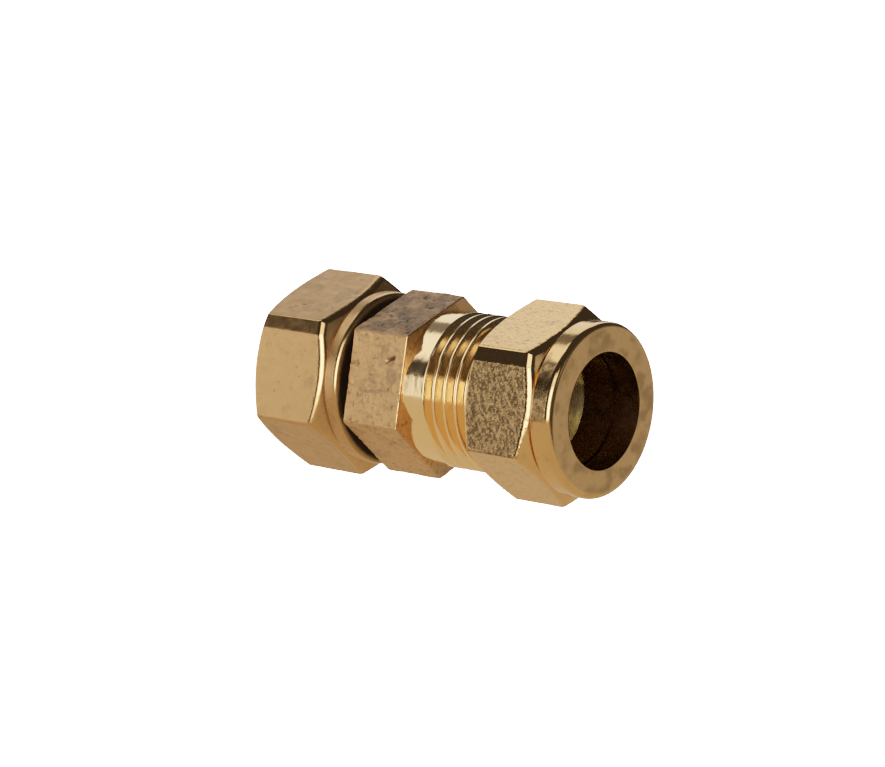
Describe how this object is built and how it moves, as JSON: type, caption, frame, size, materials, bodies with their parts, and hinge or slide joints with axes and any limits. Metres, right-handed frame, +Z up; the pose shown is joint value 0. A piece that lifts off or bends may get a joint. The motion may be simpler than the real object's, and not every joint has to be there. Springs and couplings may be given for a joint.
{
  "type": "straight tap connector",
  "caption": "Straight brass pipe coupling: forged hexagon body, compression nut and olive on one end, captive swivel nut with a flat washer on the other.",
  "frame": {"origin": "centre of the tube stop inside the body, on the common axis, in the plane of the body hexagon's compression side", "axes": "+X along the common axis, out of the compression end; +Z up, through a corner of the body hexagon; one flat of that hexagon faces -Y"},
  "size_m": [0.0506, 0.0246, 0.0276],
  "materials": {
    "forged_brass": "rough forged hexagon, machined thread and bores",
    "nut_brass": "machined and tumbled, satin",
    "soft_brass": "turned, lightly tarnished",
    "worn_brass": "dull, slightly oxidised and marked",
    "spring_wire": "drawn spring wire",
    "fibre": "pressed red fibre sheet, matt"
  },
  "bodies": {
    "body": {"body": "forged_brass"},
    "compression_ring": {"compression_ring": "soft_brass"},
    "compression_nut": {"compression_nut": "nut_brass"},
    "retaining_ring": {"retaining_ring": "spring_wire"},
    "swivel_nut": {"swivel_nut": "worn_brass"},
    "sealing_washer": {"sealing_washer": "fibre"}
  },
  "joints": [
    {"name": "ring_travel", "type": "slide", "parent": "body", "child": "compression_ring", "axis": [1, 0, 0], "range_m": [-0.00136, 0.00726]},
    {"name": "nut_turn", "type": "hinge", "parent": "compression_ring", "child": "compression_nut", "pos_m": [0.018, 0, 0], "axis": [1, 0, 0], "range_deg": [-270, 1440]},
    {"name": "swivel_spin", "type": "hinge", "parent": "body", "child": "retaining_ring", "pos_m": [-0.0139, 0, 0], "axis": [1, 0, 0], "continuous": true},
    {"name": "swivel_float", "type": "slide", "parent": "retaining_ring", "child": "swivel_nut", "axis": [1, 0, 0], "range_m": [-0.00028, 0.0011]},
    {"name": "washer_removal", "type": "slide", "parent": "body", "child": "sealing_washer", "axis": [-1, 0, 0], "range_m": [0, 0.0105]}
  ],
  "couplings": [
    {"joint": "ring_travel", "follows": "nut_turn", "m_per_rad": 0.00028875}
  ]
}
